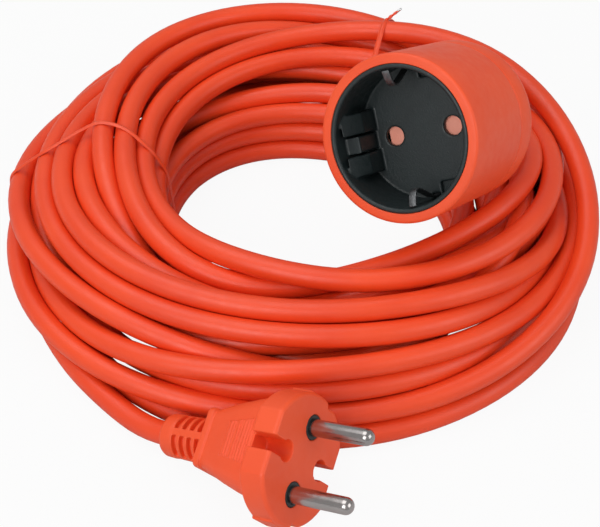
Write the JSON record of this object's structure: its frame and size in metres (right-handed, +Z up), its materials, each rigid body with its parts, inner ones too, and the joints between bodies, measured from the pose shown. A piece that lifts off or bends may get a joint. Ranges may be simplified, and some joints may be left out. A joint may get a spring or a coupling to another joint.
{
  "type": "extension cord",
  "caption": "Coiled mains extension cord with a two-pin round plug, a shuttered round socket and two twist ties.",
  "frame": {"origin": "on the surface that the pile of loops stands on, under the middle of the whole part's box", "axes": "+Z up, through the lying pile of loops; -Y towards the plug's side, which the picture shows in front; +X to its right"},
  "size_m": [0.1912, 0.2222, 0.0931],
  "materials": {
    "orange_moulding": "satin moulded surface",
    "cord_jacket": "smooth soft jacket, satin",
    "black_plastic": "fine matt texture",
    "plated_pin": "polished nickel plating",
    "brass": "bare",
    "grey_metal": "dull grey, textured",
    "shutter_plastic": "matt",
    "spring_steel": "bare",
    "core_brown": "satin",
    "core_blue": "satin",
    "tie_plastic": "satin",
    "tie_wire": "bare cut end"
  },
  "bodies": {
    "cord_set": {"plug_body": "orange_moulding", "plug_strain_relief": "orange_moulding", "plug_bridge": "black_plastic", "plug_pin_a": "plated_pin", "plug_pin_b": "plated_pin", "plug_crimp_a": "brass", "plug_crimp_b": "brass", "plug_core_a": "core_brown", "plug_core_b": "core_blue", "socket_shell": "orange_moulding", "socket_dome": "orange_moulding", "socket_insert": "black_plastic", "socket_floor": "black_plastic", "socket_carrier": "black_plastic", "socket_cap": "black_plastic", "socket_contact_a": "brass", "socket_contact_b": "brass", "socket_strip_top": "grey_metal", "socket_strip_bottom": "grey_metal", "socket_shutter_spring": "spring_steel", "socket_strain_relief": "orange_moulding", "socket_core_a": "core_brown", "socket_core_b": "core_blue", "cord_coil": "cord_jacket", "cord_lead_plug": "cord_jacket", "cord_lead_socket": "cord_jacket", "tie_left": "tie_plastic", "tie_top": "tie_plastic", "tie_left_wire": "tie_wire", "tie_top_wire": "tie_wire"},
    "shutter": {"socket_shutter": "shutter_plastic"}
  },
  "joints": [
    {"name": "shutter_turn", "type": "hinge", "parent": "cord_set", "child": "shutter", "pos_m": [0.03801, -0.00118, 0.06262], "axis": [0.487, 0.759, -0.432], "range_deg": [0, 36], "stiffness_Nm_per_rad": 0.002, "springref_deg": -17.19, "deforming": ["socket_shutter_spring"]}
  ]
}
